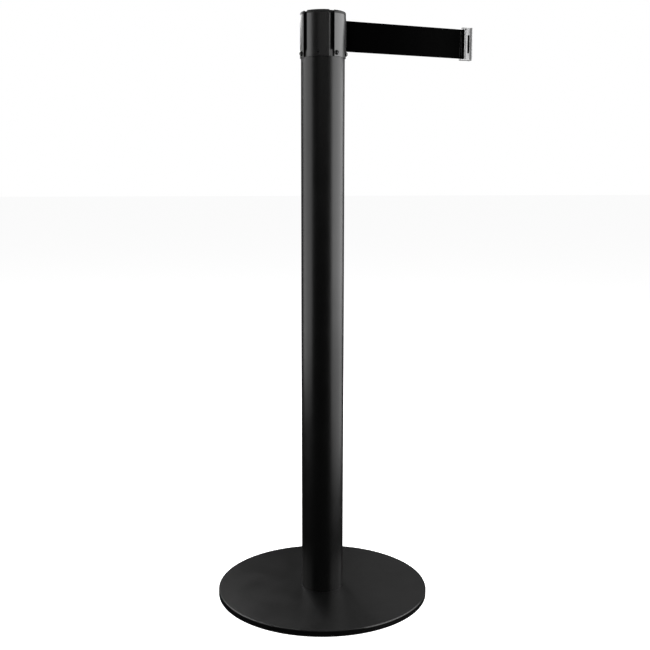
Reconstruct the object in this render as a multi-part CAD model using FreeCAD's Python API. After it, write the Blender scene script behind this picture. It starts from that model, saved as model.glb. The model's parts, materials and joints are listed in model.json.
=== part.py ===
import FreeCAD, Part
import math
import os

from FreeCAD import Vector

# Retractable belt stanchion. Millimetres, +Z up, +X along the belt. The origin is the centre of the
# base's underside, on the post's axis.

# --- base -----------------------------------------------------------------------------------------
BASE_D = 355.0
PLATE_T = 9.5
PLATE_ROUND = 1.6
FLOOR_GAP = 1.0
BASE_TOP = FLOOR_GAP + PLATE_T
FLOOR_RING_INSET = 20.0
FLOOR_RING_D = BASE_D - 2 * FLOOR_RING_INSET
FLOOR_RING_W = 12.0
FLOOR_RING_DEPTH = 2.0

BOLT_D = 12.0
BOLT_HEAD_D = 24.0
BOLT_HEAD_H = 6.0
BOLT_RECESS = 0.8
BOLT_SOCKET_AF = 8.0
BOLT_SOCKET_DEPTH = 4.0
BOLT_FIT = 0.05
BOLT_HOLE_FIT = 0.5

DOWEL_D = 6.0
DOWEL_INSET = 11.0
DOWEL_IN_BASE = 5.0
DOWEL_IN_PLUG = 10.0

# --- post -----------------------------------------------------------------------------------------
TUBE_D = 70.0
TUBE_WALL = 2.0
HEAD_BOTTOM = 890.0
PLUG_H = 24.0
BOLT_SHORT_OF_PLUG = 3.0
BOLT_TIP = BASE_TOP + PLUG_H - BOLT_SHORT_OF_PLUG
TUBE_R = TUBE_D / 2
TUBE_BORE_R = TUBE_R - TUBE_WALL
DOWEL_AT = TUBE_BORE_R - DOWEL_INSET

# --- belt -----------------------------------------------------------------------------------------
BELT_W = 48.0
BELT_T = 0.6
BELT_RISE = 12.5
BELT_BOTTOM = HEAD_BOTTOM + BELT_RISE
BELT_TOP = BELT_BOTTOM + BELT_W
WOUND_LENGTH = 2050.0
BODY_GAP = 0.4

# --- spool and cassette ---------------------------------------------------------------------------
HUB_R = 9.0
FLANGE_MARGIN = 3.76
FLANGE_T = 1.2
SHAFT_R = 3.0
RUNNING_FIT = 0.05
BUSH_WALL = 2.0
CASSETTE_T = 1.5
WASHER_T = 0.4
WASHER_R = HUB_R + 3.0
AXIAL_PLAY = 0.4
ROLL_R = math.sqrt(HUB_R ** 2 + WOUND_LENGTH * BELT_T / math.pi)
FLANGE_R = ROLL_R + FLANGE_MARGIN
FLANGE_BOTTOM = BELT_BOTTOM - AXIAL_PLAY - FLANGE_T
FLANGE_TOP = BELT_TOP + AXIAL_PLAY + FLANGE_T
PLATE_TOP = FLANGE_BOTTOM - WASHER_T - RUNNING_FIT
PLATE_BOTTOM = PLATE_TOP - CASSETTE_T
UPPER_PLATE_T = 2.0
UPPER_PLATE_BOTTOM = FLANGE_TOP + AXIAL_PLAY
UPPER_PLATE_TOP = UPPER_PLATE_BOTTOM + UPPER_PLATE_T

# --- head -----------------------------------------------------------------------------------------
HEAD_D = 72.8
HEAD_R = HEAD_D / 2
CAP_T = 4.8
CAP_ROUND = 1.8
CAP_GAP = 0.7
CAP_BOTTOM = UPPER_PLATE_TOP + CAP_GAP
HEAD_TOP = CAP_BOTTOM + CAP_T
BORE_GAP = 2.0
BORE_R = FLANGE_R + BORE_GAP
PART_FIT = 0.1

GROOVE_ANGLES = (-90.0, 90.0, 197.0)
MOUTH_W = 8.5
POCKET_W = 14.0
MOUTH_DEPTH = 3.2
POCKET_WALL = 1.8
POCKET_IN_R = BORE_R + POCKET_WALL
POCKET_OUT_R = HEAD_R - MOUTH_DEPTH
CLIP_BELOW_BELT = 2.5
CLIP_ABOVE_BELT = 3.3
CLIP_BOTTOM = BELT_BOTTOM - CLIP_BELOW_BELT
CLIP_TOP = BELT_TOP + CLIP_ABOVE_BELT
POCKET_FLOOR = CLIP_BOTTOM
MOUTH_ROUND = 0.25

SCREW_RISE = 5.6
SCREW_Z = HEAD_BOTTOM + SCREW_RISE
SCREW_ANGLES = (180.0, -76.0, -33.0, 33.0, 76.0)
SET_SCREW_ANGLES = (-125.0, 125.0)
SCREW_R = 2.0
SCREW_HOLE_FIT = 0.15
SCREW_HOLE_R = SCREW_R + SCREW_HOLE_FIT
SCREW_HEAD_R = 3.8
SCREW_HEAD_H = 3.6
SCREW_RIM = 0.3
SCREW_TIP_IN = 3.0
SCREW_SOCKET_AF = 2.5
SCREW_SOCKET_DEPTH = 1.2
SET_SCREW_RECESS = 1.5

RING_DEPTH = 18.0
RING_WALL = 6.4
RING_BOTTOM = HEAD_BOTTOM - RING_DEPTH
RING_BORE_R = min(TUBE_BORE_R, BORE_R) - PART_FIT - RING_WALL
SCREW_TIP_R = RING_BORE_R + SCREW_TIP_IN

# --- belt window ----------------------------------------------------------------------------------
WINDOW_SIDE_GAP = 2.6
WINDOW_MARGIN = 1.0
BEZEL_HALF_W = 7.5
BEZEL_DEPTH = 3.4
BEZEL_IN_R = HEAD_R - BEZEL_DEPTH
BEZEL_PROUD = 1.2
BEZEL_RIM = 2.6
BEZEL_TOP_RIM = 1.5
BEZEL_SLOT_HALF_W = 2.2
BEZEL_OUT_R = HEAD_R + BEZEL_PROUD
BEZEL_BOTTOM = BELT_BOTTOM - WINDOW_MARGIN - BEZEL_RIM
BEZEL_TOP = BELT_TOP + WINDOW_MARGIN + BEZEL_TOP_RIM
PIN_R = 2.0
PIN_BEHIND_BEZEL = 0.4
PIN_X = BEZEL_IN_R - PIN_BEHIND_BEZEL - PIN_R
PIN_GRIP = 2.0
PIN_ARC_R = PIN_R + PART_FIT + BELT_T / 2
LEAD_ROLL_R = ROLL_R + BODY_GAP + BELT_T / 2

# --- retracting spring ----------------------------------------------------------------------------
CUP_WALL = 1.2
CUP_H = 24.0
CUP_R = RING_BORE_R - PART_FIT
CUP_BOTTOM = PLATE_BOTTOM - CUP_H
SPRING_T = 0.5
SPRING_TURNS = 12
SPRING_MARGIN = 2.0
SPRING_END_GAP = 0.6
ARBOR_R = 5.0
SPRING_IN_R = ARBOR_R + SPRING_END_GAP
SPRING_OUT_R = CUP_R - CUP_WALL - SPRING_END_GAP
BUSH_H = 3.5
RETAINER_R = 5.5
RETAINER_T = 0.8
SHAFT_END = 2.0

PLATE_SCREW_R = 1.25
PLATE_SCREW_HEAD_R = 2.2
PLATE_SCREW_HEAD_H = 0.9
PLATE_SCREW_AT = RING_BORE_R + RING_WALL / 2
PLATE_SCREW_L = 8.0
PLATE_SCREW_ANGLES = (100.0, 220.0, 340.0)
CAP_SCREW_INSET = 6.5
CAP_SCREW_AT = BORE_R - CAP_SCREW_INSET
CAP_SCREW_L = 4.6
CAP_SCREW_ANGLES = (30.0, 150.0, 270.0)

# --- clip on the belt's end -----------------------------------------------------------------------
CLIP_PIN_X = 257.5
CLIP_PIN_R = 1.5
LIP_T = 2.0
LIP_HALF_W = 3.5
TOP_LIP_BACK = 255.0
BOTTOM_LIP_BACK = 251.4
WEB_START = 261.5
WEB_END = 270.0
WEB_HALF_W = 2.5
TEE_T = 2.0
TEE_HALF_W = 6.0
TEE_LEAD_IN = 1.5
SLOT_X = 266.0
SLOT_W = 3.8
SLOT_L = 30.0
SLOT_DEPTH = 3.4
CLIP_ROUND = 0.5
LOOP_TAIL = 7.6


def tube(outer, inner, low, high, x=0.0, y=0.0):
    """A ring-shaped solid about a vertical axis, or a plain cylinder when inner is 0."""
    solid = Part.makeCylinder(outer, high - low, Vector(x, y, low))
    if inner:
        solid = solid.cut(Part.makeCylinder(inner, high - low, Vector(x, y, low)))
    return solid


def block(x0, x1, y0, y1, z0, z1):
    return Part.makeBox(x1 - x0, y1 - y0, z1 - z0, Vector(x0, y0, z0))


def turned(shape, angle):
    """The shape turned about the post's axis."""
    copy = shape.copy()
    copy.rotate(Vector(0, 0, 0), Vector(0, 0, 1), angle)
    return copy


def radial_rod(radius, start, end, angle, z):
    """A rod that lies along a radius of the post."""
    rod = Part.makeCylinder(radius, end - start, Vector(start, 0, z), Vector(1, 0, 0))
    return turned(rod, angle)


def round_disc(radius, low, high, rounding):
    """A disc whose top edge is rounded."""
    cos45 = math.cos(math.pi / 4)
    mid = Vector(radius - rounding * (1 - cos45), 0, high - rounding * (1 - cos45))
    side_end = Vector(radius, 0, high - rounding)
    top_start = Vector(radius - rounding, 0, high)
    edges = [
        Part.makeLine(Vector(0, 0, low), Vector(radius, 0, low)),
        Part.makeLine(Vector(radius, 0, low), side_end),
        Part.Arc(side_end, mid, top_start).toShape(),
        Part.makeLine(top_start, Vector(0, 0, high)),
        Part.makeLine(Vector(0, 0, high), Vector(0, 0, low)),
    ]
    return Part.Face(Part.Wire(edges)).revolve(Vector(0, 0, 0), Vector(0, 0, 1), 360)


def hexagon(across_flats, low, high):
    """A six-sided prism about the Z axis."""
    radius = across_flats / math.sqrt(3)
    corners = [
        Vector(radius * math.cos(math.radians(60 * k)), radius * math.sin(math.radians(60 * k)), low)
        for k in range(7)
    ]
    return Part.Face(Part.makePolygon(corners)).extrude(Vector(0, 0, high - low))


def on_circle(radius, angle):
    return radius * math.cos(math.radians(angle)), radius * math.sin(math.radians(angle))


def joined(shapes):
    """One solid from shapes that overlap or share a face."""
    result = shapes[0].fuse(shapes[1:]) if len(shapes) > 1 else shapes[0]
    return result.removeSplitter()


def countersunk(radius, head_radius, head_height, length, up=True):
    """A countersunk screw on the Z axis, its flat head at Z 0, pointing up or down."""
    head = Part.makeCone(head_radius, radius, head_height)
    shank = Part.makeCylinder(radius, length)
    screw = joined([head, shank])
    if not up:
        screw.rotate(Vector(0, 0, 0), Vector(1, 0, 0), 180)
    return screw


def placed(shape, x, y, z):
    copy = shape.copy()
    copy.translate(Vector(x, y, z))
    return copy


def make_base():
    """The round plate, its rubber ring, and the bolt and dowel that hold the post."""
    bolt_low = FLOOR_GAP + BOLT_RECESS
    plate = round_disc(BASE_D / 2, FLOOR_GAP, BASE_TOP, PLATE_ROUND)
    ring = tube(
        FLOOR_RING_D / 2, FLOOR_RING_D / 2 - FLOOR_RING_W, 0.0, FLOOR_GAP + FLOOR_RING_DEPTH
    )
    seat = Part.makeCone(
        BOLT_HEAD_D / 2 + BOLT_FIT,
        BOLT_D / 2 + BOLT_FIT,
        BOLT_HEAD_H,
        Vector(0, 0, bolt_low),
    )
    mouth = tube(BOLT_HEAD_D / 2 + BOLT_FIT, 0, 0.0, bolt_low)
    bore = tube(BOLT_D / 2 + BOLT_HOLE_FIT, 0, bolt_low, BASE_TOP)
    dowel_hole = tube(
        DOWEL_D / 2 + BOLT_FIT, 0, BASE_TOP - DOWEL_IN_BASE, BASE_TOP, DOWEL_AT, 0
    )
    plate = plate.cut([ring, seat, mouth, bore, dowel_hole])
    bolt = countersunk(BOLT_D / 2, BOLT_HEAD_D / 2, BOLT_HEAD_H, BOLT_TIP - bolt_low)
    bolt = bolt.cut(hexagon(BOLT_SOCKET_AF, 0, BOLT_SOCKET_DEPTH))
    dowel = tube(
        DOWEL_D / 2, 0, BASE_TOP - DOWEL_IN_BASE, BASE_TOP + DOWEL_IN_PLUG, DOWEL_AT, 0
    )
    return {
        "base_plate": plate,
        "floor_ring": ring,
        "base_bolt": placed(bolt, 0, 0, bolt_low),
        "locating_pin": dowel,
    }


def make_post():
    """The tube and the threaded plug welded into its foot."""
    plug = tube(TUBE_BORE_R, BOLT_D / 2 + BOLT_FIT, BASE_TOP, BASE_TOP + PLUG_H)
    dowel_hole = tube(
        DOWEL_D / 2 + BOLT_FIT, 0, BASE_TOP, BASE_TOP + DOWEL_IN_PLUG, DOWEL_AT, 0
    )
    return {
        "post_tube": tube(TUBE_R, TUBE_BORE_R, BASE_TOP, HEAD_BOTTOM),
        "foot_plug": plug.cut(dowel_hole),
    }


def groove(angle):
    """The space of one receiver groove: an open mouth and a wider pocket behind it."""
    mouth = block(
        POCKET_OUT_R - PART_FIT, HEAD_R + 5, -MOUTH_W / 2, MOUTH_W / 2, HEAD_BOTTOM, HEAD_TOP
    )
    pocket = block(
        POCKET_IN_R, POCKET_OUT_R, -POCKET_W / 2, POCKET_W / 2, POCKET_FLOOR, HEAD_TOP
    )
    return turned(joined([mouth, pocket]), angle)


def lead_direction():
    """The direction, in plan, of the belt's slanted run from the roll to the guide pin."""
    pin = Vector(PIN_X, PIN_ARC_R, 0)
    reach = math.asin((LEAD_ROLL_R + PIN_ARC_R) / pin.Length)
    return math.atan2(pin.y, pin.x) - reach


def window_space():
    """The opening behind the bezel, wide enough for the slanted belt where it crosses the bore."""
    half = (PIN_X - BORE_R) * math.tan(-lead_direction()) + WINDOW_SIDE_GAP
    low = BELT_BOTTOM - WINDOW_MARGIN
    high = BELT_TOP + WINDOW_MARGIN
    return block(BORE_R - WINDOW_SIDE_GAP, BEZEL_IN_R, -half, half, low, high)


def bezel_block(clearance):
    """The outer form of the window's frame, grown by a clearance."""
    ring = tube(
        BEZEL_OUT_R, BEZEL_IN_R - clearance, BEZEL_BOTTOM - clearance, BEZEL_TOP + clearance
    )
    half = BEZEL_HALF_W + clearance
    return ring.common(block(0, BEZEL_OUT_R, -half, half, BEZEL_BOTTOM - 1, BEZEL_TOP + 1))


def pin_ends():
    """The lowest and highest points of the guide pins, which grip the head past the window."""
    low = BELT_BOTTOM - WINDOW_MARGIN - PIN_GRIP
    high = BELT_TOP + WINDOW_MARGIN + PIN_GRIP
    return low, high


def rounded_mouths(shape):
    """The shape with the vertical outer edges of its grooves rounded."""
    edges = []
    for edge in shape.Edges:
        ends = [vertex.Point for vertex in edge.Vertexes]
        upright = len(ends) == 2 and math.hypot(ends[0].x - ends[1].x, ends[0].y - ends[1].y) < 0.01
        at_surface = upright and abs(math.hypot(ends[0].x, ends[0].y) - HEAD_R) < 0.01
        near_mouth = at_surface and any(is_mouth_edge(ends[0], angle) for angle in GROOVE_ANGLES)
        if near_mouth:
            edges.append(edge)
    return shape.makeFillet(MOUTH_ROUND, edges)


def is_mouth_edge(point, angle):
    """Whether a point at the head's surface lies on the side of the groove at this angle."""
    x, y = on_circle(1.0, angle)
    return point.x * x + point.y * y > 0 and abs(abs(point.y * x - point.x * y) - MOUTH_W / 2) < 0.01


def make_head():
    """The housing with its grooves and window, the cap, the window's frame and the guide pins."""
    window_low = BELT_BOTTOM - WINDOW_MARGIN
    window_high = BELT_TOP + WINDOW_MARGIN
    pin_low, pin_high = pin_ends()
    cuts = [groove(angle) for angle in GROOVE_ANGLES]
    cap = round_disc(HEAD_R, CAP_BOTTOM, HEAD_TOP, CAP_ROUND).cut(cuts)
    cuts.append(window_space())
    cuts.append(bezel_block(PART_FIT))
    for side in (-1, 1):
        cuts.append(tube(PIN_R, 0, pin_low, pin_high, PIN_X, side * PIN_ARC_R))
    for angle in SCREW_ANGLES + SET_SCREW_ANGLES:
        cuts.append(radial_rod(SCREW_HOLE_R, SCREW_TIP_R, HEAD_R + 1, angle, SCREW_Z))
    housing = rounded_mouths(tube(HEAD_R, BORE_R, HEAD_BOTTOM, CAP_BOTTOM).cut(cuts))
    slot = block(
        0, BEZEL_OUT_R, -BEZEL_SLOT_HALF_W, BEZEL_SLOT_HALF_W, window_low, window_high
    )
    pins = [tube(PIN_R, 0, pin_low, pin_high, PIN_X, side * PIN_ARC_R) for side in (-1, 1)]
    for x, y, z in cap_screw_places():
        cap = cap.cut(placed(cap_screw(), x, y, z))
    return {
        "head_housing": housing,
        "head_cap": cap,
        "window_bezel": bezel_block(0).cut(slot),
        "guide_pins": Part.makeCompound(pins),
    }


def button_head():
    """A domed screw head that stands on Z 0."""
    rise = SCREW_HEAD_H - SCREW_RIM
    dome_r = (SCREW_HEAD_R ** 2 + rise ** 2) / (2 * rise)
    half_angle = math.asin(SCREW_HEAD_R / dome_r) / 2
    mid = Vector(
        dome_r * math.sin(half_angle), 0, SCREW_HEAD_H - dome_r * (1 - math.cos(half_angle))
    )
    rim = Vector(SCREW_HEAD_R, 0, SCREW_RIM)
    crown = Vector(0, 0, SCREW_HEAD_H)
    foot = Vector(SCREW_HEAD_R, 0, 0)
    edges = [
        Part.makeLine(Vector(0, 0, 0), foot),
        Part.makeLine(foot, rim),
        Part.Arc(rim, mid, crown).toShape(),
        Part.makeLine(crown, Vector(0, 0, 0)),
    ]
    return Part.Face(Part.Wire(edges)).revolve(Vector(0, 0, 0), Vector(0, 0, 1), 360)


def radial_screw(seat, head, top, angle):
    """A screw with a six-sided socket, laid along a radius of the post, its head at the seat."""
    shank_l = seat - SCREW_TIP_R
    screw = Part.makeCylinder(SCREW_R, shank_l, Vector(0, 0, -shank_l))
    if head:
        screw = joined([screw, head])
    screw = screw.cut(hexagon(SCREW_SOCKET_AF, top - SCREW_SOCKET_DEPTH, top))
    screw.rotate(Vector(0, 0, 0), Vector(0, 1, 0), 90)
    return turned(placed(screw, seat, 0, SCREW_Z), angle)


def button_screw(angle):
    """One button-head screw through the housing into the mount ring."""
    return radial_screw(HEAD_R, button_head(), SCREW_HEAD_H, angle)


def set_screw(angle):
    """One grub screw, sunk below the housing's surface."""
    return radial_screw(HEAD_R - SET_SCREW_RECESS, None, 0, angle)


def make_mount_ring():
    """The stepped ring in the tube's mouth, with the screws that hold the head to it."""
    lower = tube(TUBE_BORE_R - PART_FIT, RING_BORE_R, RING_BOTTOM, HEAD_BOTTOM)
    upper = tube(BORE_R - PART_FIT, RING_BORE_R, HEAD_BOTTOM, PLATE_BOTTOM)
    ring = joined([lower, upper])
    holes = [
        radial_rod(SCREW_R + RUNNING_FIT, SCREW_TIP_R, HEAD_R, angle, SCREW_Z)
        for angle in SCREW_ANGLES + SET_SCREW_ANGLES
    ]
    holes += [placed(plate_screw(), x, y, z) for x, y, z in plate_screw_places()]
    return {
        "mount_ring": ring.cut(holes),
        "head_screws": Part.makeCompound([button_screw(angle) for angle in SCREW_ANGLES]),
        "set_screws": Part.makeCompound([set_screw(angle) for angle in SET_SCREW_ANGLES]),
    }


def plate_screw():
    return countersunk(
        PLATE_SCREW_R, PLATE_SCREW_HEAD_R, PLATE_SCREW_HEAD_H, PLATE_SCREW_L, up=False
    )


def plate_screw_places():
    return [(*on_circle(PLATE_SCREW_AT, angle), PLATE_TOP) for angle in PLATE_SCREW_ANGLES]


def cap_screw():
    return countersunk(PLATE_SCREW_R, PLATE_SCREW_HEAD_R, PLATE_SCREW_HEAD_H, CAP_SCREW_L)


def cap_screw_places():
    return [
        (*on_circle(CAP_SCREW_AT, angle), UPPER_PLATE_BOTTOM) for angle in CAP_SCREW_ANGLES
    ]


def make_cassette():
    """The plates below and above the spool, their screws, bushes and the washer under the spool."""
    bush_hole_r = SHAFT_R + RUNNING_FIT + BUSH_WALL
    arbor_hole = tube(ARBOR_R + BODY_GAP, 0, PLATE_BOTTOM, PLATE_TOP)
    lower_screws = [placed(plate_screw(), x, y, z) for x, y, z in plate_screw_places()]
    upper_screws = [placed(cap_screw(), x, y, z) for x, y, z in cap_screw_places()]
    lower = tube(BORE_R - PART_FIT, 0, PLATE_BOTTOM, PLATE_TOP).cut([arbor_hole] + lower_screws)
    upper = tube(BORE_R - PART_FIT, bush_hole_r, UPPER_PLATE_BOTTOM, UPPER_PLATE_TOP)
    bush = tube(bush_hole_r, SHAFT_R + RUNNING_FIT, UPPER_PLATE_BOTTOM, UPPER_PLATE_TOP)
    washer = tube(WASHER_R, ARBOR_R + BODY_GAP, PLATE_TOP, PLATE_TOP + WASHER_T)
    return {
        "cassette_plate": lower,
        "upper_plate": upper.cut(upper_screws),
        "plate_screws": Part.makeCompound(lower_screws),
        "cap_screws": Part.makeCompound(upper_screws),
        "upper_bush": bush,
        "thrust_washer": washer,
    }


def spiral_edge(offset):
    """One edge of the spring's spiral: half circles about two centres half a pitch apart."""
    pitch = (SPRING_OUT_R - SPRING_IN_R - SPRING_T) / SPRING_TURNS
    edges = []
    for half_turn in range(2 * SPRING_TURNS):
        radius = SPRING_IN_R + half_turn * pitch / 2 + offset
        side = 1 if half_turn % 2 == 0 else -1
        centre = 0.0 if side == 1 else pitch / 2
        start = Vector(centre + side * radius, 0, 0)
        top = Vector(centre, side * radius, 0)
        end = Vector(centre - side * radius, 0, 0)
        edges.append(Part.Arc(start, top, end).toShape())
    return edges


def make_spring():
    """The spiral spring in its cup, and the cup's bush."""
    floor_top = CUP_BOTTOM + CASSETTE_T
    inner = spiral_edge(0)
    outer = spiral_edge(SPRING_T)
    ends = [
        Part.makeLine(inner[0].firstVertex().Point, outer[0].firstVertex().Point),
        Part.makeLine(inner[-1].lastVertex().Point, outer[-1].lastVertex().Point),
    ]
    face = Part.Face(Part.Wire(Part.__sortEdges__(inner + outer + ends)))
    low = floor_top + SPRING_MARGIN
    high = PLATE_BOTTOM - SPRING_MARGIN
    spring = placed(face.extrude(Vector(0, 0, high - low)), 0, 0, low)
    bush_r = SHAFT_R + RUNNING_FIT + BUSH_WALL
    bush = tube(bush_r, SHAFT_R + RUNNING_FIT, CUP_BOTTOM, CUP_BOTTOM + BUSH_H)
    wall = tube(CUP_R, CUP_R - CUP_WALL, CUP_BOTTOM, PLATE_BOTTOM)
    floor = tube(CUP_R, bush_r, CUP_BOTTOM, floor_top)
    return {
        "spring_cup": joined([wall, floor]),
        "power_spring": spring,
        "lower_bush": bush,
    }


def make_spool():
    """Everything that turns as the belt runs: shaft, hub, flange, arbor, retaining ring and roll."""
    shaft_low = CUP_BOTTOM - RETAINER_T - SHAFT_END - AXIAL_PLAY
    ring_high = CUP_BOTTOM - AXIAL_PLAY
    arbor_low = CUP_BOTTOM + BUSH_H + AXIAL_PLAY
    core = tube(HUB_R, SHAFT_R, FLANGE_BOTTOM, FLANGE_TOP - FLANGE_T)
    lower_flange = tube(FLANGE_R, SHAFT_R, FLANGE_BOTTOM, FLANGE_BOTTOM + FLANGE_T)
    return {
        "spool_shaft": tube(SHAFT_R, 0, shaft_low, UPPER_PLATE_TOP),
        "spool_hub": joined([core, lower_flange]),
        "spool_flange": tube(FLANGE_R, SHAFT_R, FLANGE_TOP - FLANGE_T, FLANGE_TOP),
        "spring_arbor": tube(ARBOR_R, SHAFT_R, arbor_low, FLANGE_BOTTOM),
        "retaining_ring": tube(RETAINER_R, SHAFT_R, ring_high - RETAINER_T, ring_high),
        "belt_roll": tube(ROLL_R, HUB_R, BELT_BOTTOM, BELT_TOP),
    }


def make_belt_lead():
    """The belt from the roll's tangent, round the guide pin and out to the head's surface."""
    pin = Vector(PIN_X, PIN_ARC_R, 0)
    direction = lead_direction()
    normal = Vector(-math.sin(direction), math.cos(direction), 0)
    half = BELT_T / 2
    slant = [
        normal * (LEAD_ROLL_R - half),
        pin - normal * (PIN_ARC_R + half),
        pin - normal * (PIN_ARC_R - half),
        normal * (LEAD_ROLL_R + half),
    ]
    slant.append(slant[0])
    run = Part.Face(Part.makePolygon(slant)).extrude(Vector(0, 0, BELT_W))
    sweep = math.degrees(-direction)
    bend = Part.makeCylinder(PIN_ARC_R + half, BELT_W, pin, Vector(0, 0, 1), sweep)
    bend = bend.cut(Part.makeCylinder(PIN_ARC_R - half, BELT_W, pin))
    bend.rotate(pin, Vector(0, 0, 1), -90 - sweep)
    exit_run = block(PIN_X, HEAD_R, -half, half, 0, BELT_W)
    return {"belt_lead": placed(joined([run, bend, exit_run]), 0, 0, BELT_BOTTOM)}


def make_belt_end():
    """The belt outside the head, and its end looped round the clip's pin."""
    half = BELT_T / 2
    loop_in = CLIP_PIN_R + RUNNING_FIT
    loop_out = loop_in + BELT_T
    free = block(HEAD_R + BODY_GAP, CLIP_PIN_X - loop_out, -half, half, BELT_BOTTOM, BELT_TOP)
    loop = tube(loop_out, loop_in, BELT_BOTTOM, BELT_TOP, CLIP_PIN_X, 0)
    tail = block(
        CLIP_PIN_X - LOOP_TAIL, CLIP_PIN_X - loop_in, half, half + BELT_T, BELT_BOTTOM, BELT_TOP
    )
    tail = tail.cut(tube(loop_in, 0, BELT_BOTTOM, BELT_TOP, CLIP_PIN_X, 0))
    return {"belt_free": free, "belt_loop": joined([loop, tail])}


def slot_space():
    """The clip's vertical recess, with round ends, sunk into its -Y face."""
    middle = (CLIP_TOP + CLIP_BOTTOM) / 2
    reach = (SLOT_L - SLOT_W) / 2
    floor = SLOT_DEPTH - WEB_HALF_W
    shapes = [
        block(
            SLOT_X - SLOT_W / 2, SLOT_X + SLOT_W / 2,
            -TEE_HALF_W, floor, middle - reach, middle + reach,
        )
    ]
    for z in (middle - reach, middle + reach):
        start = Vector(SLOT_X, -TEE_HALF_W, z)
        shapes.append(Part.makeCylinder(SLOT_W / 2, floor + TEE_HALF_W, start, Vector(0, 1, 0)))
    return joined(shapes)


def tee_bar():
    """The bar that slides down a receiver groove, narrowed at its foot as a lead-in."""
    x0 = WEB_END
    outline = [
        Vector(x0, -TEE_HALF_W, CLIP_TOP),
        Vector(x0, TEE_HALF_W, CLIP_TOP),
        Vector(x0, TEE_HALF_W, CLIP_BOTTOM + 2 * TEE_LEAD_IN),
        Vector(x0, TEE_HALF_W - TEE_LEAD_IN, CLIP_BOTTOM),
        Vector(x0, TEE_LEAD_IN - TEE_HALF_W, CLIP_BOTTOM),
        Vector(x0, -TEE_HALF_W, CLIP_BOTTOM + 2 * TEE_LEAD_IN),
    ]
    outline.append(outline[0])
    return Part.Face(Part.makePolygon(outline)).extrude(Vector(TEE_T, 0, 0))


def eased(shape):
    """The shape with every edge rounded."""
    return shape.makeFillet(CLIP_ROUND, shape.Edges)


def make_clip():
    """The metal clip: a lip over each edge of the belt, a web with its slot, and the tee bar."""
    web = block(
        WEB_START, WEB_END + TEE_T - CLIP_ROUND, -WEB_HALF_W, WEB_HALF_W, CLIP_BOTTOM, CLIP_TOP
    )
    top_lip = block(
        TOP_LIP_BACK, WEB_START + LIP_T, -LIP_HALF_W, LIP_HALF_W, CLIP_TOP - LIP_T, CLIP_TOP
    )
    bottom_lip = block(
        BOTTOM_LIP_BACK, WEB_START + LIP_T, -LIP_HALF_W, LIP_HALF_W, CLIP_BOTTOM, CLIP_BOTTOM + LIP_T
    )
    body = joined([eased(shape) for shape in (web, top_lip, bottom_lip, tee_bar())])
    pin = tube(CLIP_PIN_R, 0, CLIP_BOTTOM, CLIP_TOP, CLIP_PIN_X, 0)
    return {"clip_body": body.cut([slot_space(), pin]), "clip_pin": pin}


def build():
    """Every node of the stanchion, by name."""
    nodes = {}
    for make in (
        make_base, make_post, make_head, make_mount_ring, make_cassette,
        make_spring, make_spool, make_belt_lead, make_belt_end, make_clip,
    ):
        nodes.update(make())
    return nodes


os.makedirs("parts", exist_ok=True)
for name, shape in build().items():
    shape.exportStep("parts/" + name + ".step")
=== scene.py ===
import json
import math

import bmesh
import bpy
from mathutils import Euler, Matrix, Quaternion, Vector


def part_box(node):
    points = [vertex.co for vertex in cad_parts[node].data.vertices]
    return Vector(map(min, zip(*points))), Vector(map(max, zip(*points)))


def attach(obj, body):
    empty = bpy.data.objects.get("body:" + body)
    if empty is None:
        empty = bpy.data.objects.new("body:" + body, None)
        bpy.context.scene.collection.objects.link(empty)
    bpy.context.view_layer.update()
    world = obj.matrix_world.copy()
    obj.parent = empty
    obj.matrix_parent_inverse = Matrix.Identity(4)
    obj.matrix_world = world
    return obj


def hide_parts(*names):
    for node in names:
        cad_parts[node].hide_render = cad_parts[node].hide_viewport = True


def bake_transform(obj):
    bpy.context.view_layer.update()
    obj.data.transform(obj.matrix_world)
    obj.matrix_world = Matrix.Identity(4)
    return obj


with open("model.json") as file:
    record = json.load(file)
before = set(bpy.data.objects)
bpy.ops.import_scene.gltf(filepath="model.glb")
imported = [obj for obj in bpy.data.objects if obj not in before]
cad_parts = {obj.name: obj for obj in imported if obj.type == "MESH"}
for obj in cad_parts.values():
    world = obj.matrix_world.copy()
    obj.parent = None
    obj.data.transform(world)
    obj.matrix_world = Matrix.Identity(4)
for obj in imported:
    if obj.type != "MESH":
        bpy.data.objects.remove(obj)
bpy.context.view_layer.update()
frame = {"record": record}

# Retractable belt stanchion. Metres, +Z up, +X along the belt, origin under the base's centre.

MM = 0.001

# --- camera ---------------------------------------------------------------------------------------
CAMERA_AZIMUTH = math.radians(-23.0)
CAMERA_DISTANCE = 1.5542
CAMERA_HEIGHT = 0.6896
CAMERA_SIDE = 0.004
CAMERA_PITCH = 0.1458
CAMERA_ROLL = 0.0015
CAMERA_LENS_MM = 52.5
CAMERA_SENSOR_MM = 36.0

# --- belt -----------------------------------------------------------------------------------------
RIB_PITCH = 1.0 * MM
RIB_HEIGHT = 0.05 * MM
SELVEDGE_W = 1.6 * MM
SELVEDGE_EXTRA = 0.12 * MM
STITCH_PITCH = 3.0 * MM
STITCH_R = 0.20 * MM
STITCH_RISE = 0.22 * MM
STITCH_ROWS = (3.6 * MM, 6.4 * MM)
STITCH_MARGIN = 3.0 * MM

# --- clip -----------------------------------------------------------------------------------------
# Box of the clip's recess, which is painted near-black as painted shade.
RECESS_X = 266.0 * MM
RECESS_HALF_W = 1.95 * MM
RECESS_HALF_L = 15.05 * MM
RECESS_FLOOR = 0.95 * MM
RECESS_RIM = 2.2 * MM

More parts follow.
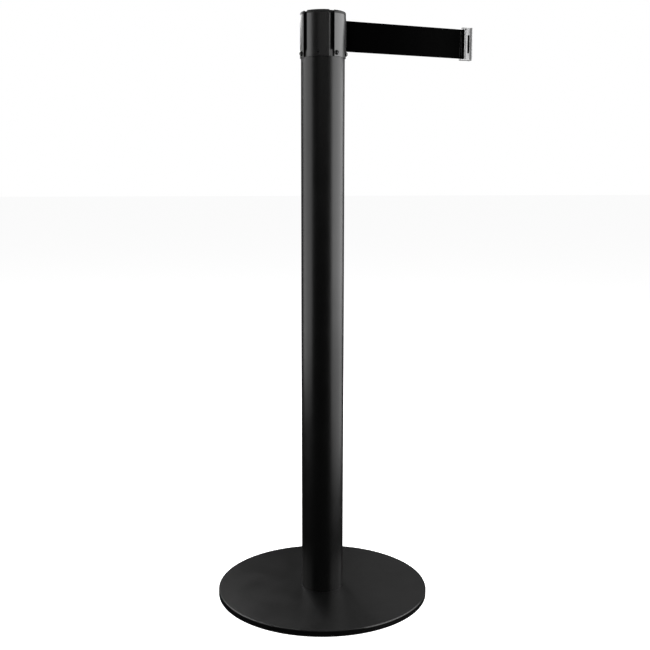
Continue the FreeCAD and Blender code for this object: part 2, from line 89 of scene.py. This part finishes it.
# --- weave and loop -------------------------------------------------------------------------------
BANDS_PER_SCALE = 3.1416  # bands a metre that the wave texture draws for each unit of its scale
WEFT_PITCH = 0.9 * MM
WARP_PITCH = 1.0 * MM
FUZZ_SIZE = 0.5 * MM
TWIST_PITCH = 0.35 * MM
POINTS_PER_RIB = 6
THINNEST = 0.02 * MM
LOOP_START = math.radians(-165)
LOOP_TURN = math.radians(290)
LOOP_STEPS = 28
LOOP_LEAD = 0.4 * MM
TAIL_START = 3.4 * MM
TAIL_LIFT = 0.05 * MM
TAIL_STEPS = 4
STITCH_SHARE = 0.86
STITCH_STEPS = 6
THREAD_SIDES = 8

# --- studio ---------------------------------------------------------------------------------------
FLOOR_HALF_SIZE = 60.0
WORLD_LIGHT = 0.012
SOFT_BOXES = (
    # name, bearing, distance, height, (width, height), power, height that it is aimed at
    ("left_box", -91.0, 0.9, 0.86, (1.15, 1.38), 8.6, 0.86),
    ("right_box", 89.0, 0.9, 0.94, (1.55, 1.20), 19.3, 0.94),
    ("right_low_box", 89.0, 0.9, 0.14, (1.55, 0.40), 3.5, 0.14),
    ("head_kicker", -150.0, 1.7, 1.50, (0.9, 0.5), 13.5, 0.95),
    ("base_kicker", 163.0, 1.9, 0.95, (1.0, 0.5), 0.65, 0.0),
    ("front_panel", 0.0, 2.6, 1.62, (2.4, 1.2), 2.6, 0.6),
    ("top_box", 150.0, 0.9, 2.6, (2.2, 2.2), 9.0, 0.0),
)
FRONT_FILL = ("front_fill", -12.0, 2.4, 2.3, (1.6, 1.6), 100.0, 0.9)


# --- node helpers ---------------------------------------------------------------------------------
class Shader:
    """A new material with a Principled shader, and short ways to add and join its nodes."""

    def __init__(self, name, **values):
        self.material = bpy.data.materials.new(name)
        self.material.use_nodes = True
        self.tree = self.material.node_tree
        self.surface = self.tree.nodes["Principled BSDF"]
        for socket, value in values.items():
            self.set(socket, value)
        self.place = self.tree.nodes.new("ShaderNodeTexCoord").outputs["Object"]

    def set(self, socket, value):
        self.surface.inputs[socket.replace("_", " ")].default_value = value

    def join(self, output, target):
        self.tree.links.new(output, target)

    def stretched(self, scale):
        """Object coordinates multiplied axis by axis, for lines and grain."""
        node = self.tree.nodes.new("ShaderNodeMapping")
        node.inputs["Scale"].default_value = scale
        self.join(self.place, node.inputs["Vector"])
        return node.outputs["Vector"]

    def noise(self, scale, detail=2.0, rough=0.5, place=None):
        node = self.tree.nodes.new("ShaderNodeTexNoise")
        node.inputs["Scale"].default_value = scale
        node.inputs["Detail"].default_value = detail
        node.inputs["Roughness"].default_value = rough
        self.join(place or self.place, node.inputs["Vector"])
        return node.outputs["Fac"]

    def wave(self, scale, direction):
        node = self.tree.nodes.new("ShaderNodeTexWave")
        node.wave_type = "BANDS"
        node.bands_direction = direction
        node.wave_profile = "SIN"
        node.inputs["Scale"].default_value = scale
        node.inputs["Distortion"].default_value = 0.0
        self.join(self.place, node.inputs["Vector"])
        return node.outputs["Fac"]

    def cells(self, scale):
        node = self.tree.nodes.new("ShaderNodeTexVoronoi")
        node.inputs["Scale"].default_value = scale
        self.join(self.place, node.inputs["Vector"])
        return node.outputs["Distance"]

    def pointed(self):
        return self.tree.nodes.new("ShaderNodeNewGeometry").outputs["Pointiness"]

    def ramp(self, factor, stops):
        """A colour ramp; each stop is (position, colour or grey)."""
        node = self.tree.nodes.new("ShaderNodeValToRGB")
        ramp = node.color_ramp
        while len(ramp.elements) < len(stops):
            ramp.elements.new(0.5)
        for element, (position, colour) in zip(ramp.elements, stops):
            element.position = position
            element.color = rgba(colour)
        self.join(factor, node.inputs["Fac"])
        return node.outputs["Color"]

    def math(self, operation, a, b):
        node = self.tree.nodes.new("ShaderNodeMath")
        node.operation = operation
        for socket, value in zip(node.inputs, (a, b)):
            if isinstance(value, (int, float)):
                socket.default_value = value
            else:
                self.join(value, socket)
        return node.outputs["Value"]

    def mix(self, factor, a, b):
        """Colour a where the factor is 0, and b where it is 1."""
        node = self.tree.nodes.new("ShaderNodeMix")
        node.data_type = "RGBA"
        colours = [s for s in node.inputs if s.type == "RGBA"]
        self.join(factor, node.inputs[0])
        for socket, value in zip(colours, (a, b)):
            if isinstance(value, (int, float, tuple)):
                socket.default_value = rgba(value)
            else:
                self.join(value, socket)
        return next(s for s in node.outputs if s.type == "RGBA")

    def colour(self, output):
        self.join(output, self.surface.inputs["Base Color"])

    def roughness(self, output):
        self.join(output, self.surface.inputs["Roughness"])

    def bump(self, *layers):
        """Each layer is (height output, distance in metres, strength)."""
        last = None
        for height, distance, strength in layers:
            node = self.tree.nodes.new("ShaderNodeBump")
            node.inputs["Strength"].default_value = strength
            node.inputs["Distance"].default_value = distance
            self.join(height, node.inputs["Height"])
            if last:
                self.join(last, node.inputs["Normal"])
            last = node.outputs["Normal"]
        self.join(last, self.surface.inputs["Normal"])


def rgba(colour):
    if isinstance(colour, (int, float)):
        return (colour, colour, colour, 1.0)
    return (*colour, 1.0)


# --- materials ------------------------------------------------------------------------------------
def powder_coat(name, dark, light, rough_low, rough_high, grain, specular=0.5):
    """Black powder coat: a fine orange peel, small paler specks, and sharp edges painted paler as a
    painted highlight along the rims.
    """
    m = Shader(name, Specular_IOR_Level=specular)
    specks = m.ramp(m.cells(1.0 / (1.1 * MM)), [(0.0, 1.0), (0.16, 1.0), (0.26, 0.0)])
    mottle = m.ramp(m.noise(60.0, 3.0), [(0.3, dark), (0.7, light)])
    flecked = m.mix(m.math("MULTIPLY", specks, 0.35), mottle, light * 2.2)
    # Painted highlight: sharp edges are painted paler to stand for the light line along the rims.
    edges = m.ramp(m.pointed(), [(0.0, 0.0), (0.53, 0.0), (0.60, 1.0)])
    m.colour(m.mix(m.math("MULTIPLY", edges, 0.5), flecked, light * 4.0))
    m.roughness(m.ramp(m.noise(24.0, 4.0, 0.6), [(0.3, rough_low), (0.7, rough_high)]))
    m.bump(
        (m.noise(1.0 / (1.6 * MM), 2.0), 0.06 * MM, grain),
        (m.noise(1.0 / (0.45 * MM), 1.0), 0.03 * MM, grain),
    )
    return m.material


def moulded_plastic(name, colour, rough_low, rough_high, specular=0.5):
    """Black moulded plastic with a faint haze and a very fine texture."""
    m = Shader(name, Specular_IOR_Level=specular)
    haze = m.noise(45.0, 4.0, 0.6)
    m.colour(m.ramp(haze, [(0.3, colour), (0.75, colour * 1.7)]))
    drawn = m.noise(1.0, 3.0, 0.6, m.stretched((900.0, 900.0, 30.0)))
    level = m.math("ADD", m.math("MULTIPLY", haze, 0.6), m.math("MULTIPLY", drawn, 0.4))
    m.roughness(m.ramp(level, [(0.3, rough_low), (0.7, rough_high)]))
    m.bump((m.noise(1.0 / (0.6 * MM), 2.0), 0.02 * MM, 0.25))
    return m.material


def cast_metal():
    """Pale satin cast metal, with its long recess painted near-black as painted shade."""
    m = Shader("clip_cast_metal", Metallic=0.35)
    grain = m.noise(1.0 / (0.8 * MM), 3.0, 0.6)
    body = m.ramp(grain, [(0.25, (0.22, 0.22, 0.223)), (0.75, (0.28, 0.28, 0.283))])
    edges = m.ramp(m.pointed(), [(0.0, 0.0), (0.50, 0.0), (0.56, 1.0)])
    worn = m.mix(edges, body, (0.32, 0.32, 0.32))
    # Painted shade: the recess is painted near-black to stand for the shade inside it.
    m.colour(m.mix(recess_painted_shade(m), worn, (0.004, 0.004, 0.004)))
    m.roughness(m.ramp(m.noise(220.0, 4.0), [(0.3, 0.36), (0.7, 0.52)]))
    m.bump((grain, 0.05 * MM, 0.3))
    return m.material


def recess_painted_shade(m):
    """1 inside the clip's recess, where the painted shade goes; 0 on the rest of it."""
    low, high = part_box("clip_body")
    middle = (low[2] + high[2]) / 2
    recess_low = Vector((RECESS_X - RECESS_HALF_W, -RECESS_RIM, middle - RECESS_HALF_L))
    recess_high = Vector((RECESS_X + RECESS_HALF_W, RECESS_FLOOR, middle + RECESS_HALF_L))
    to_object = bpy.data.objects["clip_body"].matrix_world.inverted()
    corners = (to_object @ recess_low, to_object @ recess_high)
    node = m.tree.nodes.new("ShaderNodeSeparateXYZ")
    m.join(m.place, node.inputs["Vector"])
    inside = 1.0
    for output, start, end in zip(node.outputs, *corners):
        above = m.math("GREATER_THAN", output, start)
        below = m.math("LESS_THAN", output, end)
        inside = m.math("MULTIPLY", m.math("MULTIPLY", above, below), inside)
    return inside


def plain_metal(name, dark, light, rough):
    """Turned or ground steel: fine lines round the part."""
    m = Shader(name, Metallic=1.0)
    lines = m.noise(1.0, 4.0, 0.6, m.stretched((40.0, 40.0, 900.0)))
    m.colour(m.ramp(lines, [(0.3, dark), (0.7, light)]))
    m.roughness(m.ramp(lines, [(0.3, rough * 0.8), (0.7, rough * 1.25)]))
    m.bump((lines, 0.01 * MM, 0.2))
    return m.material


def webbing():
    """Black polyester webbing: lengthwise ribs crossed by the weft, with a faint sheen."""
    m = Shader("black_webbing", Specular_IOR_Level=0.01)
    weft = m.wave(1.0 / WEFT_PITCH / BANDS_PER_SCALE, "X")
    warp = m.wave(1.0 / WARP_PITCH / BANDS_PER_SCALE, "Z")
    weave = m.math("MULTIPLY", weft, warp)
    fuzz = m.noise(1.0 / FUZZ_SIZE, 3.0, 0.7)
    yarn = m.math("ADD", m.math("MULTIPLY", weave, 0.7), m.math("MULTIPLY", fuzz, 0.3))
    m.colour(m.ramp(yarn, [(0.15, 0.0004), (0.85, 0.0012)]))
    m.roughness(m.ramp(fuzz, [(0.3, 0.78), (0.7, 0.95)]))
    m.bump((weave, 0.12 * MM, 0.6), (fuzz, 0.04 * MM, 0.4))
    return m.material


def thread():
    """Twisted black sewing thread."""
    m = Shader("sewing_thread", Sheen_Weight=0.3, Specular_IOR_Level=0.25)
    twist = m.wave(1.0 / TWIST_PITCH / BANDS_PER_SCALE, "DIAGONAL")
    m.colour(m.ramp(twist, [(0.2, 0.004), (0.8, 0.018)]))
    m.roughness(m.ramp(m.noise(2500.0), [(0.3, 0.6), (0.7, 0.85)]))
    m.bump((twist, 0.05 * MM, 0.5))
    return m.material


def rubber():
    """Matt black rubber with a dusty bloom."""
    m = Shader("floor_rubber", Specular_IOR_Level=0.3)
    dust = m.noise(90.0, 5.0, 0.65)
    m.colour(m.ramp(dust, [(0.35, 0.010), (0.75, 0.030)]))
    m.roughness(m.ramp(dust, [(0.3, 0.72), (0.7, 0.92)]))
    m.bump((m.noise(1.0 / (0.7 * MM), 3.0), 0.06 * MM, 0.4))
    return m.material


def acetal():
    """Natural white moulded plastic."""
    m = Shader("natural_acetal", Subsurface_Weight=0.05)
    m.colour(m.ramp(m.noise(70.0, 3.0), [(0.3, (0.66, 0.66, 0.63)), (0.7, (0.74, 0.74, 0.71))]))
    m.roughness(m.ramp(m.noise(150.0), [(0.3, 0.38), (0.7, 0.5)]))
    m.bump((m.noise(1.0 / (0.8 * MM)), 0.02 * MM, 0.2))
    return m.material


def slot_materials():
    """One finished material for each material slot of the record."""
    return {
        "base_paint": powder_coat("base_powder_coat", 0.0006, 0.0012, 0.32, 0.38, 0.35),
        "post_paint": powder_coat("post_powder_coat", 0.0003, 0.0006, 0.29, 0.35, 0.35),
        "head_plastic": moulded_plastic("head_satin_plastic", 0.0010, 0.29, 0.37, 0.88),
        "cap_plastic": moulded_plastic("cap_matt_plastic", 0.0040, 0.45, 0.55, 0.3),
        "webbing": webbing(),
        "clip_metal": cast_metal(),
        "black_steel": plain_metal("blackened_steel", 0.06, 0.11, 0.26),
        "plain_steel": plain_metal("ground_steel", 0.45, 0.62, 0.24),
        "zinc_steel": plain_metal("zinc_plate", (0.42, 0.44, 0.47), (0.58, 0.60, 0.62), 0.34),
        "spring_steel": plain_metal("blued_strip", (0.10, 0.12, 0.18), (0.22, 0.22, 0.26), 0.26),
        "bush_brass": plain_metal("sintered_bronze", (0.42, 0.27, 0.11), (0.60, 0.42, 0.18), 0.42),
        "spool_plastic": acetal(),
        "ring_rubber": rubber(),
        "thread": thread(),
    }


# --- mesh helpers ---------------------------------------------------------------------------------
def mesh_object(name, vertices, faces, material, smooth=True):
    mesh = bpy.data.meshes.new(name)
    mesh.from_pydata([tuple(v) for v in vertices], [], faces)
    made = bmesh.new()
    made.from_mesh(mesh)
    bmesh.ops.recalc_face_normals(made, faces=made.faces)
    made.to_mesh(mesh)
    made.free()
    for polygon in mesh.polygons:
        polygon.use_smooth = smooth
    mesh.materials.append(material)
    piece = bpy.data.objects.new(name, mesh)
    bpy.context.scene.collection.objects.link(piece)
    return piece


def lofted(rings):
    """Vertices and faces of a closed skin through rings of equally many points."""
    count = len(rings[0])
    vertices = [point for ring in rings for point in ring]
    faces = []
    for k in range(len(rings) - 1):
        for i in range(count):
            j = (i + 1) % count
            faces.append((k * count + i, k * count + j, (k + 1) * count + j, (k + 1) * count + i))
    faces.append(tuple(range(count)))
    faces.append(tuple(range((len(rings) - 1) * count, len(rings) * count)))
    return vertices, faces


def half_thickness(z, low, high, thickness):
    """Half the webbing's thickness at a height: ribs along its length, and fuller selvedges."""
    edge = min(z - low, high - z)
    ribs = RIB_HEIGHT * (0.5 - 0.5 * math.cos(2 * math.pi * (z - low) / RIB_PITCH))
    if edge < SELVEDGE_W:
        inward = 1 - edge / SELVEDGE_W
        bulge = SELVEDGE_EXTRA * math.sin(math.pi * min(1.0, 1.2 * (1 - inward)))
        return max(THINNEST, (thickness / 2 + bulge) * math.sqrt(max(0.0, 1 - inward ** 6)))
    return thickness / 2 - RIB_HEIGHT + ribs


def webbing_outline(low, high, thickness):
    """The webbing's cross-section as (offset, height) points, all the way round."""
    count = int((high - low) / RIB_PITCH * POINTS_PER_RIB)
    heights = [low + (high - low) * k / count for k in range(count + 1)]
    front = [(-half_thickness(z, low, high, thickness), z) for z in heights]
    back = [(half_thickness(z, low, high, thickness), z) for z in reversed(heights)]
    return front + back


# --- pieces ---------------------------------------------------------------------------------------
def make_belt(materials):
    """The free webbing: straight between the window and the clip, so it has rings only there."""
    low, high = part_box("belt_free")
    outline = webbing_outline(low[2], high[2], high[1] - low[1])
    rings = [[(x, y, z) for y, z in outline] for x in (low[0], high[0])]
    belt = mesh_object("belt_strip", *lofted(rings), materials["webbing"])
    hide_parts("belt_free")
    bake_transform(belt)


def loop_path():
    """The webbing's end in plan: off the strip, round the clip's pin and back along the strip."""
    pin_low, pin_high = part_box("clip_pin")
    low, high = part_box("belt_loop")
    pin_x = (pin_low[0] + pin_high[0]) / 2
    free_low, free_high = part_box("belt_free")
    thickness = free_high[1] - free_low[1]
    radius = high[0] - pin_x - thickness / 2
    path = [(free_high[0] - LOOP_LEAD, 0.0)]
    for k in range(LOOP_STEPS + 1):
        angle = LOOP_START + LOOP_TURN * k / LOOP_STEPS
        path.append((pin_x + radius * math.cos(angle), radius * math.sin(angle)))
    tail_x = pin_x - TAIL_START
    tail_y = high[1] - thickness / 2
    path.append((tail_x, tail_y + TAIL_LIFT))
    for k in range(1, TAIL_STEPS + 1):
        path.append((tail_x - (tail_x - low[0]) * k / TAIL_STEPS, tail_y))
    return path, thickness


def make_loop(materials):
    """The webbing turned round the clip's pin, with its sewn tail."""
    path, thickness = loop_path()
    low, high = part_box("belt_loop")
    outline = webbing_outline(low[2], high[2], thickness)
    rings = []
    for k, (x, y) in enumerate(path):
        before = Vector(path[max(k - 1, 0)])
        after = Vector(path[min(k + 1, len(path) - 1)])
        along = (after - before).normalized()
        across = Vector((along.y, -along.x))
        rings.append([(x + across.x * o, y + across.y * o, z) for o, z in outline])
    loop = mesh_object("belt_end_loop", *lofted(rings), materials["webbing"])
    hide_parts("belt_loop")
    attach(loop, "belt_end")


def stitch(x, y, z, side):
    """One stitch: the thread rises out of the webbing and sinks back in, upwards along Z."""
    turns = [2 * math.pi * i / THREAD_SIDES for i in range(THREAD_SIDES)]
    rings = []
    for k in range(STITCH_STEPS + 1):
        share = k / STITCH_STEPS
        along = z + (share - 0.5) * STITCH_PITCH * STITCH_SHARE
        lift = y + side * (STITCH_RISE * math.sin(math.pi * share) - STITCH_R)
        rings.append([
            (x + STITCH_R * math.cos(turn), lift + STITCH_R * math.sin(turn), along)
            for turn in turns
        ])
    return lofted(rings)


def make_stitches(materials):
    """Two rows of stitches through the belt's end and its tail, seen on both faces."""
    pin_low, pin_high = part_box("clip_pin")
    pin_x = (pin_low[0] + pin_high[0]) / 2
    free_low, free_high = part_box("belt_free")
    half = (free_high[1] - free_low[1]) / 2
    tail_face = half + (free_high[1] - free_low[1])
    low = free_low[2] + STITCH_MARGIN
    count = int((free_high[2] - free_low[2] - 2 * STITCH_MARGIN) / STITCH_PITCH)
    vertices = []
    faces = []
    for inset in STITCH_ROWS:
        for k in range(count):
            z = low + (k + 0.5) * STITCH_PITCH
            for y, side in ((-half, -1), (tail_face, 1)):
                points, skin = stitch(pin_x - inset, y, z, side)
                faces += [tuple(i + len(vertices) for i in face) for face in skin]
                vertices += points
    stitches = mesh_object("belt_stitches", vertices, faces, materials["thread"])
    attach(stitches, "belt_end")


def make_camera():
    forward = Vector((math.sin(-CAMERA_AZIMUTH), math.cos(CAMERA_AZIMUTH), 0))
    right = Vector((math.cos(CAMERA_AZIMUTH), math.sin(CAMERA_AZIMUTH), 0))
    data = bpy.data.cameras.new("camera")
    data.lens = CAMERA_LENS_MM
    data.sensor_width = CAMERA_SENSOR_MM
    camera = bpy.data.objects.new("camera", data)
    camera.location = -forward * CAMERA_DISTANCE + right * CAMERA_SIDE
    camera.location.z = CAMERA_HEIGHT
    turn = Euler((math.pi / 2 - CAMERA_PITCH, 0, CAMERA_AZIMUTH)).to_quaternion()
    camera.rotation_euler = (turn @ Quaternion((0, 0, 1), CAMERA_ROLL)).to_euler()
    bpy.context.scene.collection.objects.link(camera)
    bpy.context.scene.camera = camera


def soft_box(name, bearing, distance, height, size, power, aim):
    """An area light; its bearing is in degrees from the camera's side of the post, to the right."""
    data = bpy.data.lights.new(name, "AREA")
    data.shape = "RECTANGLE"
    data.size, data.size_y = size
    data.energy = power
    light = bpy.data.objects.new(name, data)
    angle = math.radians(bearing) + CAMERA_AZIMUTH - math.pi / 2
    light.location = (distance * math.cos(angle), distance * math.sin(angle), height)
    toward = Vector((0, 0, aim)) - light.location
    light.rotation_euler = toward.to_track_quat("-Z", "Y").to_euler()
    light.visible_camera = False
    bpy.context.scene.collection.objects.link(light)
    return light


def make_lights():
    """Soft boxes that draw the highlights, and a fill that only lights the matt surfaces."""
    for values in SOFT_BOXES:
        soft_box(*values)
    soft_box(*FRONT_FILL).visible_glossy = False
    world = bpy.data.worlds.new("studio")
    bpy.context.scene.world = world
    world.use_nodes = True
    tree = world.node_tree
    background = tree.nodes["Background"]
    seen = tree.nodes.new("ShaderNodeLightPath").outputs["Is Camera Ray"]
    mix = tree.nodes.new("ShaderNodeMapRange")
    mix.inputs["To Min"].default_value = WORLD_LIGHT
    mix.inputs["To Max"].default_value = 1.0
    tree.links.new(seen, mix.inputs["Value"])
    tree.links.new(mix.outputs["Result"], background.inputs["Strength"])
    background.inputs["Color"].default_value = (1.0, 1.0, 1.0, 1.0)
    bpy.context.scene.view_settings.view_transform = "Standard"


def make_floor():
    """A plain white floor that the object neither mirrors nor takes light from."""
    size = FLOOR_HALF_SIZE
    corners = [(-size, -size, 0), (size, -size, 0), (size, size, 0), (-size, size, 0)]
    floor_paint = Shader("floor_white", Roughness=0.9, Specular_IOR_Level=0.0)
    floor_paint.set("Base_Color", rgba(0.85))
    floor_paint.set("Emission_Color", rgba(1.0))
    floor_paint.set("Emission_Strength", 0.95)
    floor = mesh_object("floor", corners, [(0, 1, 2, 3)], floor_paint.material, smooth=False)
    floor.visible_glossy = False
    floor.visible_diffuse = False


def finish_cad_nodes(materials):
    """Every CAD node takes the finished material of its record slot."""
    for subpart in frame["record"]["subparts"]:
        piece = bpy.data.objects.get(subpart["node"])
        if piece is None:
            continue
        for slot in piece.material_slots:
            slot.material = materials[subpart["material_slot"]]


make_camera()
make_lights()
make_floor()
finishes = slot_materials()
finish_cad_nodes(finishes)
make_belt(finishes)
make_loop(finishes)
make_stitches(finishes)
